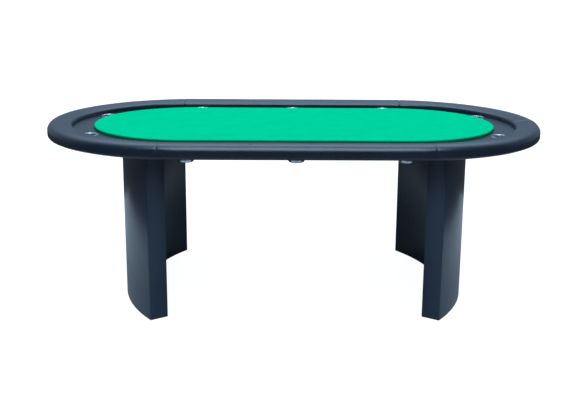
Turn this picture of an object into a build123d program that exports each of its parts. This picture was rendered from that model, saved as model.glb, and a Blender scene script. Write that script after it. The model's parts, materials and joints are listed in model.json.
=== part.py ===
from build123d import *
import os
from math import cos, degrees, radians, sin, sqrt

# A poker table for ten players: a padded stadium-shaped top on two curved panel legs.
# Millimetres. +X runs along the table, +Y to its rear, +Z up. The origin is on the floor under its centre.
# An offset is a distance in from the rail's outer edge, the same all the way round the table.

os.makedirs("parts", exist_ok=True)

# ---------------------------------------------------------------- driving dimensions

LENGTH = 2134
WIDTH = 1219
HEIGHT = 750

# Padded rail
RAIL_WIDTH = 105
RAIL_DEPTH = 60
RAIL_OUTER_ROUND = 30
RAIL_SHOULDER = 20  # the outer round ends this far from level, and the broad crest begins
RAIL_CREST_ROUND = 60
RAIL_FALL = 10  # how steeply the top falls from the crest to the inner round
RAIL_INNER_ROUND = 12
RAIL_LOWER_ROUND = 12
RAIL_VINYL = 2
SEAM_ANGLE = 7.5  # the long seams lie this far round each end, past the straight side
SKIRT = 12
BASE = 12

# Deck, racetrack and playing surface, each a layer on the one below
DECK = 18
DECK_OFFSET = 15
TRACK_BOARD = 10.5
TRACK_VINYL = 1.5
TRACK_GAP = 0.5  # round both edges of the racetrack
PLAYFIELD_OFFSET = 197
PLAYFIELD_ROUND = 6
PLAYFIELD_BOARD = 16
PLAYFIELD_FOAM = 7.5
CLOTH = 2

# Cup holders, each a drawn steel cup that hangs in its hole by its flange
CUP_OFFSET = 147
CUP_SPACING = 437
CUP_ANGLE = 31.5
CUP_RADIUS = 33
CUP_CORNER = 8
CUP_WALL = 0.8
CUP_FLANGE_RADIUS = 37
CUP_HOLE_RADIUS = 34
CUP_DEPTH = 65
CUP_CLEARANCE = 0.2  # between the flange and the racetrack
CUP_CROWN = 0.6  # the flange is crowned, so its top stands above its rim
CUP_LIP = 1  # the rounding down from the flange to the cup's inside

# Legs: each is a curved box, part of a ring about a centre on the other side of the table
LEG_CENTRE_X = -144
LEG_RADIUS = 891
LEG_THICKNESS = 80
LEG_HALF_ANGLE = 34.7
LEG_EDGE_ROUND = 2
LEG_WRAP = 1.5
LEG_SKIN = 6
LEG_POST = 40
RIB = 18
RIB_SPACING = 225
TOP_RIB = 36
GLIDE = 3
GLIDE_RADIUS = 15
GLIDE_ANGLE = 11
GLIDE_CHAMFER = 1
GLIDE_NAIL_RADIUS = 1.5
GLIDE_NAIL = 12

# Steel angle brackets that hold the legs to the deck
BRACKET_WIDTH = 60
BRACKET_ARM = 40
BRACKET_THICKNESS = 3
BRACKET_ANGLES = (-24, 0, 24)

# Battens under the deck
BATTEN_WIDTH = 45
BATTEN_DEPTH = 40
BATTEN_LENGTH = 1180
BATTEN_Y = 250
CROSS_BATTEN_X = (-520, 0, 520)
BATTEN_CHAMFER = 3

# Fixings under the deck
BOLT_OFFSET = 58
BOLT_RADIUS = 4
BOLT_HEAD_RADIUS = 7.5  # to the hexagon's corners
BOLT_HEAD = 5.3
BOLT_CLEARANCE = 0.5
BOLT_END = 2  # between the bolt's end and the foam
WASHER = 1.6
WASHER_RADIUS = 12
TEE_NUT_RADIUS = 5
TEE_NUT_BARREL = 9.5
TEE_NUT_FLANGE = 1.5
TEE_NUT_FLANGE_RADIUS = 11
BOARD_SCREW_RADIUS = 2
BOARD_SCREW_HEAD_RADIUS = 4
BOARD_SCREW_HEAD = 2.5
PLAYFIELD_SCREW_GRIP = 10  # how far the screws reach into what they hold
TRACK_SCREW_GRIP = 8
BATTEN_SCREW_RADIUS = 2.5
BATTEN_SCREW_HEAD_RADIUS = 4.75
BATTEN_SCREW_HEAD = 3
BATTEN_SCREW_GRIP = 12

# ---------------------------------------------------------------- levels and places

RAIL_BOTTOM = HEIGHT - RAIL_DEPTH
DECK_TOP = RAIL_BOTTOM + DECK
BASE_TOP = DECK_TOP + BASE
TRACK_TOP = DECK_TOP + TRACK_BOARD + TRACK_VINYL
PLAYFIELD_TOP = DECK_TOP + PLAYFIELD_BOARD + PLAYFIELD_FOAM + CLOTH
BATTEN_BOTTOM = RAIL_BOTTOM - BATTEN_DEPTH

END_X = (LENGTH - WIDTH) / 2  # the centre of each semicircular end
END_RADIUS = WIDTH / 2
REACH = LENGTH  # past the table's edge in any direction


def along_the_outline(offset, straight_xs, end_angles):
    """Places at one offset: both straight sides, and both ends at angles from the table's long axis."""
    line = END_RADIUS - offset
    front = [(x, -line) for x in straight_xs]
    right = [(END_X + line * cos(radians(a)), line * sin(radians(a))) for a in end_angles]
    rear = [(-x, -y) for x, y in front]
    left = [(-x, -y) for x, y in right]
    return front + right + rear + left


cup_places = along_the_outline(CUP_OFFSET, (-CUP_SPACING, 0, CUP_SPACING), (-CUP_ANGLE, CUP_ANGLE))
bolt_places = along_the_outline(BOLT_OFFSET, (-380, 0, 380), (-60, -20, 20, 60))
track_screw_places = along_the_outline(CUP_OFFSET, (-218, 218), (-60, 0, 60))
playfield_screw_places = [(x, y) for x in (-380, -140, 140, 380) for y in (-330, 330)]
playfield_screw_places += [(-800, 0), (800, 0)]
batten_screw_places = [(x, y) for x in (-460, -230, 0, 230, 460) for y in (-BATTEN_Y, BATTEN_Y)]
batten_screw_places += [(x, y) for x in CROSS_BATTEN_X for y in (-140, 140)]


# ---------------------------------------------------------------- shapes used more than once


def band(height, outer, inner=None, holes=(), hole_radius=0):
    """The outline's face at a height, from one offset in to another, with round holes."""
    with BuildSketch(Plane.XY.offset(height)) as face:
        SlotOverall(LENGTH - 2 * outer, WIDTH - 2 * outer)
        if inner is not None:
            SlotOverall(LENGTH - 2 * inner, WIDTH - 2 * inner, mode=Mode.SUBTRACT)
        if holes:
            with Locations(*holes):
                Circle(hole_radius, mode=Mode.SUBTRACT)
    return face.sketch


def sector(start, end):
    """The plan between two rays, each given by the x of its end centre and its angle."""

    def tip(centre_x, angle):
        return (centre_x + REACH * cos(radians(angle)), REACH * sin(radians(angle)))

    middle = [(a + b) / 2 for a, b in zip(start, end)]
    points = [(start[0], 0), tip(*start), tip(*middle), tip(*end)]
    if start[0] != end[0]:
        points.append((end[0], 0))
    with BuildSketch() as wedge:
        with BuildLine():
            Polyline(*points, close=True)
        make_face()
    return wedge.sketch


def rail_section(plane, inset):
    """The rail's section, in from its surface by an inset."""
    outer_x = END_RADIUS - RAIL_OUTER_ROUND
    inner_x = END_RADIUS - RAIL_WIDTH + RAIL_INNER_ROUND
    lower_x = END_RADIUS - RAIL_LOWER_ROUND
    crest_z = HEIGHT - RAIL_CREST_ROUND
    lower_z = RAIL_BOTTOM + RAIL_LOWER_ROUND
    step = RAIL_CREST_ROUND - RAIL_OUTER_ROUND
    crest_x = outer_x - step * sin(radians(RAIL_SHOULDER))
    outer_z = crest_z + step * cos(radians(RAIL_SHOULDER))
    rise = RAIL_CREST_ROUND - RAIL_INNER_ROUND - (crest_x - inner_x) * sin(radians(RAIL_FALL))
    inner_z = crest_z + rise / cos(radians(RAIL_FALL))
    with BuildSketch(plane) as section:
        with BuildLine():
            outer = CenterArc((outer_x, outer_z), RAIL_OUTER_ROUND - inset, 0, 90 - RAIL_SHOULDER)
            crest = CenterArc(
                (crest_x, crest_z),
                RAIL_CREST_ROUND - inset,
                90 - RAIL_SHOULDER,
                RAIL_SHOULDER + RAIL_FALL,
            )
            inner = CenterArc(
                (inner_x, inner_z), RAIL_INNER_ROUND - inset, 90 + RAIL_FALL, 90 - RAIL_FALL
            )
            Line(crest @ 1, inner @ 0)
            inside = Line(inner @ 1, ((inner @ 1).X, RAIL_BOTTOM + inset))
            lower = CenterArc((lower_x, lower_z), RAIL_LOWER_ROUND - inset, 270, 90)
            Line(inside @ 1, lower @ 0)
            Line(lower @ 1, outer @ 0)
        make_face()
    return section.sketch


def rail_ring(inset):
    """The rail's section taken all the way round the outline."""
    with BuildPart() as ring:
        for turn in (1, -1):
            plane = Plane(origin=(turn * END_X, 0, 0), x_dir=(0, -turn, 0), z_dir=(-turn, 0, 0))
            face = rail_section(plane, inset)
            extrude(face, amount=2 * END_X)
            revolve(face, axis=Axis((turn * END_X, 0, 0), (0, 0, 1)), revolution_arc=180)
    return ring


def upright_screws(places, height, length, radius, head_radius, head_height):
    """Screws driven upwards from a height, each with its head below it."""
    with BuildPart() as screws:
        with Locations(*[(x, y, height) for x, y in places]):
            Cylinder(radius, length, align=(Align.CENTER, Align.CENTER, Align.MIN))
            Cylinder(head_radius, head_height, align=(Align.CENTER, Align.CENTER, Align.MAX))
    return screws


def finish(piece, name):
    """Labels a finished piece and writes it."""
    piece.part.label = name
    export_step(piece.part, f"parts/{name}.step")


# ---------------------------------------------------------------- screws and bolts under the deck

board_screw = (BOARD_SCREW_RADIUS, BOARD_SCREW_HEAD_RADIUS, BOARD_SCREW_HEAD)
batten_screw = (BATTEN_SCREW_RADIUS, BATTEN_SCREW_HEAD_RADIUS, BATTEN_SCREW_HEAD)
playfield_screws = upright_screws(
    playfield_screw_places, RAIL_BOTTOM, DECK + PLAYFIELD_SCREW_GRIP, *board_screw
)
finish(playfield_screws, "playfield_screws")
racetrack_screws = upright_screws(
    track_screw_places, RAIL_BOTTOM, DECK + TRACK_SCREW_GRIP, *board_screw
)
finish(racetrack_screws, "racetrack_screws")
batten_screws = upright_screws(
    batten_screw_places, BATTEN_BOTTOM, BATTEN_DEPTH + BATTEN_SCREW_GRIP, *batten_screw
)
finish(batten_screws, "batten_screws")

with BuildPart() as rail_bolts:
    with BuildSketch(Plane.XY.offset(RAIL_BOTTOM - WASHER - BOLT_HEAD)):
        with Locations(*bolt_places):
            RegularPolygon(BOLT_HEAD_RADIUS, 6)
    extrude(amount=BOLT_HEAD)
    with BuildSketch(Plane.XY.offset(RAIL_BOTTOM - WASHER)):
        with Locations(*bolt_places):
            Circle(BOLT_RADIUS)
    extrude(amount=WASHER + DECK + BASE - BOLT_END)
finish(rail_bolts, "rail_bolts")

with BuildPart() as rail_washers:
    with BuildSketch(Plane.XY.offset(RAIL_BOTTOM - WASHER)):
        with Locations(*bolt_places):
            Circle(WASHER_RADIUS)
            Circle(BOLT_RADIUS + BOLT_CLEARANCE, mode=Mode.SUBTRACT)
    extrude(amount=WASHER)
finish(rail_washers, "rail_washers")

with BuildPart() as rail_tee_nuts:
    with BuildSketch(Plane.XY.offset(BASE_TOP - TEE_NUT_FLANGE)):
        with Locations(*bolt_places):
            Circle(TEE_NUT_FLANGE_RADIUS)
            Circle(BOLT_RADIUS, mode=Mode.SUBTRACT)
    extrude(amount=TEE_NUT_FLANGE)
    with BuildSketch(Plane.XY.offset(BASE_TOP - TEE_NUT_FLANGE)):
        with Locations(*bolt_places):
            Circle(TEE_NUT_RADIUS)
            Circle(BOLT_RADIUS, mode=Mode.SUBTRACT)
    extrude(amount=-TEE_NUT_BARREL)
finish(rail_tee_nuts, "rail_tee_nuts")

# ---------------------------------------------------------------- leg planes, brackets and their screws

LEG_INNER_RADIUS = LEG_RADIUS - LEG_THICKNESS
CORE_OUTER = LEG_RADIUS - LEG_WRAP - LEG_SKIN
CORE_INNER = LEG_INNER_RADIUS + LEG_WRAP + LEG_SKIN
CORE_RADIUS = (CORE_OUTER + CORE_INNER) / 2
SKIN_ANGLE = LEG_HALF_ANGLE - degrees(LEG_WRAP / CORE_RADIUS)
RIB_ANGLE = SKIN_ANGLE - degrees(LEG_POST / CORE_RADIUS)

# A flat bracket touches the hollow side of the leg along its two upright edges.
BRACKET_RADIUS = sqrt(LEG_INNER_RADIUS**2 - (BRACKET_WIDTH / 2) ** 2)
BRACKET_SCREW_Y = 18
BRACKET_SCREW_ARM = 25  # from the corner of the bracket to its screws
BRACKET_SCREW_RADIUS = 2.25
BRACKET_SCREW_CLEARANCE = 0.25
BRACKET_SCREW_LENGTH = 17
BRACKET_HEAD_RADIUS = 4.5
BRACKET_HEAD = 2.8

leg_planes = {
    "left": Plane(origin=(-LEG_CENTRE_X, 0, 0), x_dir=(-1, 0, 0), z_dir=(0, 0, 1)),
    "right": Plane(origin=(LEG_CENTRE_X, 0, 0), x_dir=(1, 0, 0), z_dir=(0, 0, 1)),
}


def in_leg(plane, radius, angle, height):
    """A point of a leg's plan, by its radius and its angle from the leg's middle."""
    return plane.from_local_coords((radius * cos(radians(angle)), radius * sin(radians(angle)), height))


def bracket_planes(leg_plane):
    """A plane at each bracket's corner, +X into the leg and +Z up into the deck."""
    planes = []
    for angle in BRACKET_ANGLES:
        corner = in_leg(leg_plane, BRACKET_RADIUS, angle, RAIL_BOTTOM)
        outward = in_leg(leg_plane, BRACKET_RADIUS + 1, angle, RAIL_BOTTOM) - corner
        planes.append(Plane(origin=corner, x_dir=outward, z_dir=(0, 0, 1)))
    return planes


def bracket_screw_planes(leg_plane):
    """A plane on the bracket at each of its screws, +Z the way the screw is driven."""
    planes = []
    for bracket in bracket_planes(leg_plane):
        for y in (-BRACKET_SCREW_Y, BRACKET_SCREW_Y):
            into_deck = bracket.from_local_coords((-BRACKET_SCREW_ARM, y, -BRACKET_THICKNESS))
            into_leg = bracket.from_local_coords((-BRACKET_THICKNESS, y, -BRACKET_SCREW_ARM))
            planes.append(Plane(origin=into_deck, z_dir=(0, 0, 1)))
            planes.append(Plane(origin=into_leg, z_dir=bracket.x_dir))
    return planes


bracket_screws = {}
for side, leg_plane in leg_planes.items():
    with BuildPart() as brackets:
        with Locations(*bracket_planes(leg_plane)):
            Box(
                BRACKET_ARM,
                BRACKET_WIDTH,
                BRACKET_THICKNESS,
                align=(Align.MAX, Align.CENTER, Align.MAX),
            )
            Box(
                BRACKET_THICKNESS,
                BRACKET_WIDTH,
                BRACKET_ARM,
                align=(Align.MAX, Align.CENTER, Align.MAX),
            )
        with Locations(*bracket_screw_planes(leg_plane)):
            Cylinder(
                BRACKET_SCREW_RADIUS + BRACKET_SCREW_CLEARANCE,
                3 * BRACKET_THICKNESS,
                mode=Mode.SUBTRACT,
            )
    finish(brackets, f"{side}_leg_brackets")

    with BuildPart() as screws:
        with Locations(*bracket_screw_planes(leg_plane)):
            Cylinder(
                BRACKET_SCREW_RADIUS,
                BRACKET_SCREW_LENGTH,
                align=(Align.CENTER, Align.CENTER, Align.MIN),
            )
            Cylinder(
                BRACKET_HEAD_RADIUS,
                BRACKET_HEAD,
                align=(Align.CENTER, Align.CENTER, Align.MAX),
            )
    finish(screws, f"{side}_leg_bracket_screws")
    bracket_screws[side] = screws

# ---------------------------------------------------------------- deck and battens

with BuildPart() as deck_board:
    extrude(band(RAIL_BOTTOM, DECK_OFFSET, None, cup_places, CUP_HOLE_RADIUS), amount=DECK)
    with Locations(*[(x, y, DECK_TOP) for x, y in bolt_places]):
        Hole(BOLT_RADIUS + BOLT_CLEARANCE, DECK)
    for screws in (playfield_screws, racetrack_screws, batten_screws, *bracket_screws.values()):
        add(screws.part, mode=Mode.SUBTRACT)
finish(deck_board, "deck_board")

with BuildPart() as long_battens:
    with Locations((0, -BATTEN_Y, BATTEN_BOTTOM), (0, BATTEN_Y, BATTEN_BOTTOM)):
        Box(
            BATTEN_LENGTH,
            BATTEN_WIDTH,
            BATTEN_DEPTH,
            align=(Align.CENTER, Align.CENTER, Align.MIN),
        )
    chamfer(long_battens.edges().filter_by(Axis.X).group_by(Axis.Z)[0], BATTEN_CHAMFER)
    add(batten_screws.part, mode=Mode.SUBTRACT)
finish(long_battens, "long_battens")

with BuildPart() as cross_battens:
    with Locations(*[(x, 0, BATTEN_BOTTOM) for x in CROSS_BATTEN_X]):
        Box(
            BATTEN_WIDTH,
            2 * BATTEN_Y - BATTEN_WIDTH,
            BATTEN_DEPTH,
            align=(Align.CENTER, Align.CENTER, Align.MIN),
        )
    chamfer(cross_battens.edges().filter_by(Axis.Y).group_by(Axis.Z)[0], BATTEN_CHAMFER)
    add(batten_screws.part, mode=Mode.SUBTRACT)
finish(cross_battens, "cross_battens")

# ---------------------------------------------------------------- rail

WALL_OFFSET = RAIL_WIDTH - RAIL_VINYL  # the base and foam end here, inside the cover's inner wall
BASE_OFFSET = RAIL_VINYL + SKIRT
SKIRT_BOTTOM = RAIL_BOTTOM + RAIL_VINYL

board_pieces = {
    "front": ((-END_X, -90), (END_X, -90)),
    "right": ((END_X, -90), (END_X, 90)),
    "rear": ((END_X, 90), (-END_X, 90)),
    "left": ((-END_X, 90), (-END_X, 270)),
}
foam_pieces = {
    "front": ((-END_X, -90), (END_X, -90)),
    "right_front": ((END_X, -90), (END_X, 0)),
    "right_rear": ((END_X, 0), (END_X, 90)),
    "rear": ((END_X, 90), (-END_X, 90)),
    "left_rear": ((-END_X, 90), (-END_X, 180)),
    "left_front": ((-END_X, 180), (-END_X, 270)),
}
cover_panels = {
    "front": ((-END_X, -90 - SEAM_ANGLE), (END_X, -90 + SEAM_ANGLE)),
    "right_front": ((END_X, -90 + SEAM_ANGLE), (END_X, 0)),
    "right_rear": ((END_X, 0), (END_X, 90 - SEAM_ANGLE)),
    "rear": ((END_X, 90 - SEAM_ANGLE), (-END_X, 90 + SEAM_ANGLE)),
    "left": ((-END_X, 90 + SEAM_ANGLE), (-END_X, 270 - SEAM_ANGLE)),
}

rail_outside = rail_ring(0)
rail_core = rail_ring(RAIL_VINYL)

for name, (start, end) in board_pieces.items():
    with BuildPart() as skirt:
        add(rail_core.part)
        edge = band(SKIRT_BOTTOM, 0, BASE_OFFSET)
        extrude(edge, amount=BASE_TOP - SKIRT_BOTTOM, mode=Mode.INTERSECT)
        extrude(sector(start, end), amount=HEIGHT, mode=Mode.INTERSECT)
    finish(skirt, f"rail_skirt_{name}")

    with BuildPart() as base:
        extrude(band(DECK_TOP, BASE_OFFSET, WALL_OFFSET), amount=BASE)
        extrude(sector(start, end), amount=HEIGHT, mode=Mode.INTERSECT)
        with Locations(*[(x, y, BASE_TOP) for x, y in bolt_places]):
            CounterBoreHole(TEE_NUT_RADIUS, TEE_NUT_FLANGE_RADIUS, TEE_NUT_FLANGE, BASE)
    finish(base, f"rail_base_{name}")

for name, (start, end) in foam_pieces.items():
    with BuildPart() as foam:
        add(rail_core.part)
        above = band(BASE_TOP, 0, RAIL_WIDTH)
        extrude(above, amount=HEIGHT - BASE_TOP, mode=Mode.INTERSECT)
        extrude(sector(start, end), amount=HEIGHT, mode=Mode.INTERSECT)
    finish(foam, f"rail_foam_{name}")

# The cover wraps the core, and is open below from the skirt to the inner wall.
for name, (start, end) in cover_panels.items():
    with BuildPart() as panel:
        add(rail_outside.part)
        add(rail_core.part, mode=Mode.SUBTRACT)
        opening = band(RAIL_BOTTOM, BASE_OFFSET, RAIL_WIDTH)
        extrude(opening, amount=DECK_TOP - RAIL_BOTTOM, mode=Mode.SUBTRACT)
        extrude(sector(start, end), amount=HEIGHT, mode=Mode.INTERSECT)
    finish(panel, f"rail_cover_{name}")

# ---------------------------------------------------------------- racetrack

TRACK_OUTER = RAIL_WIDTH + TRACK_GAP
TRACK_INNER = PLAYFIELD_OFFSET - TRACK_GAP

with BuildPart() as racetrack_board:
    track = band(DECK_TOP, TRACK_OUTER, TRACK_INNER, cup_places, CUP_HOLE_RADIUS)
    extrude(track, amount=TRACK_BOARD)
    add(racetrack_screws.part, mode=Mode.SUBTRACT)
finish(racetrack_board, "racetrack_board")

with BuildPart() as racetrack_vinyl:
    skin = band(DECK_TOP + TRACK_BOARD, TRACK_OUTER, TRACK_INNER, cup_places, CUP_HOLE_RADIUS)
    extrude(skin, amount=TRACK_VINYL)
finish(racetrack_vinyl, "racetrack_vinyl")

# ---------------------------------------------------------------- playing surface

PADDING_OFFSET = PLAYFIELD_OFFSET + CLOTH
FOAM_BOTTOM = DECK_TOP + PLAYFIELD_BOARD

with BuildPart() as playfield_board:
    extrude(band(DECK_TOP, PADDING_OFFSET), amount=PLAYFIELD_BOARD)
    add(playfield_screws.part, mode=Mode.SUBTRACT)
finish(playfield_board, "playfield_board")

with BuildPart() as playfield_foam:
    extrude(band(FOAM_BOTTOM, PADDING_OFFSET), amount=PLAYFIELD_FOAM)
    fillet(playfield_foam.faces().sort_by(Axis.Z)[-1].edges(), PLAYFIELD_ROUND - CLOTH)
finish(playfield_foam, "playfield_foam")

with BuildPart() as playfield_cloth:
    extrude(band(DECK_TOP, PLAYFIELD_OFFSET), amount=PLAYFIELD_TOP - DECK_TOP)
    fillet(playfield_cloth.faces().sort_by(Axis.Z)[-1].edges(), PLAYFIELD_ROUND)
    extrude(band(DECK_TOP, PADDING_OFFSET), amount=PLAYFIELD_BOARD, mode=Mode.SUBTRACT)
    add(playfield_foam.part, mode=Mode.SUBTRACT)
finish(playfield_cloth, "playfield_cloth")

# ---------------------------------------------------------------- cup holders

CUP_SEAT = TRACK_TOP + CUP_CLEARANCE
CUP_BOTTOM = TRACK_TOP - CUP_DEPTH
CUP_FLOOR = CUP_BOTTOM + CUP_WALL
CUP_INNER = CUP_RADIUS - CUP_WALL
FLANGE_TOP = CUP_SEAT + CUP_WALL + CUP_CROWN
corner = (CUP_RADIUS - CUP_CORNER, CUP_BOTTOM + CUP_CORNER)
rim = (CUP_FLANGE_RADIUS, CUP_SEAT)
shoulder = (CUP_FLANGE_RADIUS - CUP_LIP, CUP_SEAT + CUP_WALL)
crown = (CUP_RADIUS + CUP_LIP, FLANGE_TOP)
lip = (CUP_INNER + CUP_LIP * (1 - sin(radians(45))), FLANGE_TOP - CUP_LIP / 2)
throat = (CUP_INNER, CUP_SEAT - CUP_LIP)

for number, (x, y) in enumerate(cup_places, start=1):
    with BuildPart() as cup:
        with BuildSketch(Plane(origin=(x, y, 0), x_dir=(1, 0, 0), z_dir=(0, -1, 0))):
            with BuildLine():
                Line((0, CUP_BOTTOM), (corner[0], CUP_BOTTOM))
                CenterArc(corner, CUP_CORNER, -90, 90)
                Line((CUP_RADIUS, corner[1]), (CUP_RADIUS, CUP_SEAT))
                Line((CUP_RADIUS, CUP_SEAT), rim)
                ThreePointArc(rim, shoulder, crown)
                ThreePointArc(crown, lip, throat)
                Line(throat, (CUP_INNER, corner[1]))
                CenterArc(corner, CUP_CORNER - CUP_WALL, 0, -90)
                Line((corner[0], CUP_FLOOR), (0, CUP_FLOOR))
                Line((0, CUP_FLOOR), (0, CUP_BOTTOM))
            make_face()
        revolve(axis=Axis((x, y, 0), (0, 0, 1)))
    finish(cup, f"cup_holder_{number}")

# ---------------------------------------------------------------- legs


def ring_slice(plane, radii, angle, height):
    """A slice of a ring in a leg's plan, between two radii and as far each side of its middle as the angle."""
    with BuildSketch(plane.offset(height)) as face:
        with BuildLine():
            near = CenterArc((0, 0), radii[0], -angle, 2 * angle)
            far = CenterArc((0, 0), radii[1], -angle, 2 * angle)
            Line(near @ 0, far @ 0)
            Line(near @ 1, far @ 1)
        make_face()
    return face.sketch


rib_levels = [(GLIDE + RIB_SPACING * i, RIB) for i in range(3)]
rib_levels.append((RAIL_BOTTOM - TOP_RIB, TOP_RIB))
post_angle = (SKIN_ANGLE + RIB_ANGLE) / 2

for side, leg_plane in leg_planes.items():
    panel_height = RAIL_BOTTOM - GLIDE

    with BuildPart() as glides:
        angles = (-post_angle, -GLIDE_ANGLE, GLIDE_ANGLE, post_angle)
        with Locations(*[in_leg(leg_plane, CORE_RADIUS, angle, 0) for angle in angles]):
            Cylinder(GLIDE_RADIUS, GLIDE, align=(Align.CENTER, Align.CENTER, Align.MIN))
            Cylinder(
                GLIDE_NAIL_RADIUS,
                GLIDE + GLIDE_NAIL,
                align=(Align.CENTER, Align.CENTER, Align.MIN),
            )
        chamfer(glides.edges().filter_by(GeomType.CIRCLE).group_by(Axis.Z)[0], GLIDE_CHAMFER)
    finish(glides, f"{side}_leg_glides")

    with BuildPart() as ribs:
        for bottom, thickness in rib_levels:
            slice_face = ring_slice(leg_plane, (CORE_INNER, CORE_OUTER), RIB_ANGLE, bottom)
            extrude(slice_face, amount=thickness)
        add(glides.part, mode=Mode.SUBTRACT)
        add(bracket_screws[side].part, mode=Mode.SUBTRACT)
    finish(ribs, f"{side}_leg_ribs")

    with BuildPart() as end_posts:
        core = ring_slice(leg_plane, (CORE_INNER, CORE_OUTER), SKIN_ANGLE, GLIDE)
        extrude(core, amount=panel_height)
        between = ring_slice(leg_plane, (CORE_INNER - 1, CORE_OUTER + 1), RIB_ANGLE, GLIDE)
        extrude(between, amount=panel_height, mode=Mode.SUBTRACT)
        add(glides.part, mode=Mode.SUBTRACT)
    finish(end_posts, f"{side}_leg_end_posts")

    with BuildPart() as outer_skin:
        skin = ring_slice(leg_plane, (CORE_OUTER, CORE_OUTER + LEG_SKIN), SKIN_ANGLE, GLIDE)
        extrude(skin, amount=panel_height)
    finish(outer_skin, f"{side}_leg_outer_skin")

    with BuildPart() as inner_skin:
        skin = ring_slice(leg_plane, (CORE_INNER - LEG_SKIN, CORE_INNER), SKIN_ANGLE, GLIDE)
        extrude(skin, amount=panel_height)
        add(bracket_screws[side].part, mode=Mode.SUBTRACT)
    finish(inner_skin, f"{side}_leg_inner_skin")

    with BuildPart() as wrap:
        outline = ring_slice(leg_plane, (LEG_INNER_RADIUS, LEG_RADIUS), LEG_HALF_ANGLE, GLIDE)
        extrude(outline, amount=panel_height)
        corners = wrap.edges().filter_by(Axis.Z)
        fillet(corners, LEG_EDGE_ROUND)
        wrapped = (LEG_INNER_RADIUS + LEG_WRAP, LEG_RADIUS - LEG_WRAP)
        extrude(
            ring_slice(leg_plane, wrapped, SKIN_ANGLE, GLIDE),
            amount=panel_height,
            mode=Mode.SUBTRACT,
        )
        add(bracket_screws[side].part, mode=Mode.SUBTRACT)
    finish(wrap, f"{side}_leg_wrap")
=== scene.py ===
"""The looks of a poker table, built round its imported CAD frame. Metres, in the frame's own axes:
+X along the table, +Y to its rear, +Z up, the origin on the floor under its centre."""

import json
import math

import bmesh
import bpy
from mathutils import Matrix, Vector, noise


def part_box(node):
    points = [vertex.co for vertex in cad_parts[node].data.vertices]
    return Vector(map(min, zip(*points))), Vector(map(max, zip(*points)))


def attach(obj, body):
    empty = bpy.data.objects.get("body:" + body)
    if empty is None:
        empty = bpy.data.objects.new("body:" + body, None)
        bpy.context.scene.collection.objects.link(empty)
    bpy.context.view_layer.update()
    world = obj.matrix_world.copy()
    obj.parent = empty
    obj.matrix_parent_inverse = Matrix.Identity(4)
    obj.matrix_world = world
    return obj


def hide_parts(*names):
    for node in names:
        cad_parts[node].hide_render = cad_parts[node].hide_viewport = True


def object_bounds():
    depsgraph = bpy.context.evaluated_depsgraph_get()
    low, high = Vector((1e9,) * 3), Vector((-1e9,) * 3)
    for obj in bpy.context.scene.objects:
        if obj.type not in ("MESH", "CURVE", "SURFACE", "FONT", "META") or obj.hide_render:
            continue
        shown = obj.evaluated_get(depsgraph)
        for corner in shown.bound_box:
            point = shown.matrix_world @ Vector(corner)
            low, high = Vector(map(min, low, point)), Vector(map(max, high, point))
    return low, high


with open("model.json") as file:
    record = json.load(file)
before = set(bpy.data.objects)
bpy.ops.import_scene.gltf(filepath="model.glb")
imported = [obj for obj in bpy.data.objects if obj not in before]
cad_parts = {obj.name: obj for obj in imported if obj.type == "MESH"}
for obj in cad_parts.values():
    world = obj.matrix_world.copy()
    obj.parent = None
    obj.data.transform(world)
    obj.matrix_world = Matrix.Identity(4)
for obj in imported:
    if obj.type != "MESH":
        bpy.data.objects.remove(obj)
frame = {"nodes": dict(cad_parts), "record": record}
cad_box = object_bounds()

# ------------------------------------------------------------------ sizes, from the frame

TABLE = "table"  # the body that everything but the cup holders rides on
HIGH = cad_box[1]
END_RADIUS = HIGH.y
END_X = HIGH.x - END_RADIUS
TOP_Z = HIGH.z
RAIL_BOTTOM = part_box("rail_cover_front")[0].z
DECK_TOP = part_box("racetrack_board")[0].z
TRACK_LOW, TRACK_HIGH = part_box("racetrack_vinyl")
SKIRT_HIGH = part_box("rail_skirt_rear")[1]
CLOTH_LOW, CLOTH_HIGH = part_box("playfield_cloth")
PADDING_LOW, PADDING_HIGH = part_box("playfield_foam")
BASE_LOW, BASE_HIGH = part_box("rail_base_front")

TRACK_GAP = 0.0005  # round both edges of the racetrack
TRACK_OUTER = END_RADIUS - TRACK_HIGH.y
RAIL_WIDTH = TRACK_OUTER - TRACK_GAP
PLAYFIELD_OFFSET = END_RADIUS - CLOTH_HIGH.y
TRACK_INNER = PLAYFIELD_OFFSET - TRACK_GAP
COVER = END_RADIUS - SKIRT_HIGH.y  # the thickness of the rail's vinyl
CLOTH = CLOTH_HIGH.y - PADDING_HIGH.y  # the thickness of the green cloth
BASE_OFFSET = END_RADIUS + BASE_LOW.y
BASE_TOP = BASE_HIGH.z

STRAIGHT = 2 * END_X
HALF_END = math.pi * END_RADIUS / 2
OUTLINE = 2 * STRAIGHT + 4 * HALF_END

SEAM_ANGLE = math.radians(7.5)  # how far round each end the long seams lie
LOWER_ROUND = 0.012
OUTER_ROUND = 0.030
CREST_ROUND = 0.060
INNER_ROUND = 0.012
SHOULDER = 20  # degrees from level where the outer round meets the crest
FALL = 10  # degrees by which the top falls from the crest to the inner round

CUPS = range(1, 11)
CUP_HOLE = 0.034  # the radius of the holes in the racetrack's vinyl
END_RAMP = 0.08  # how far past the straight sides the ends' creases come to their full depth


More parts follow.
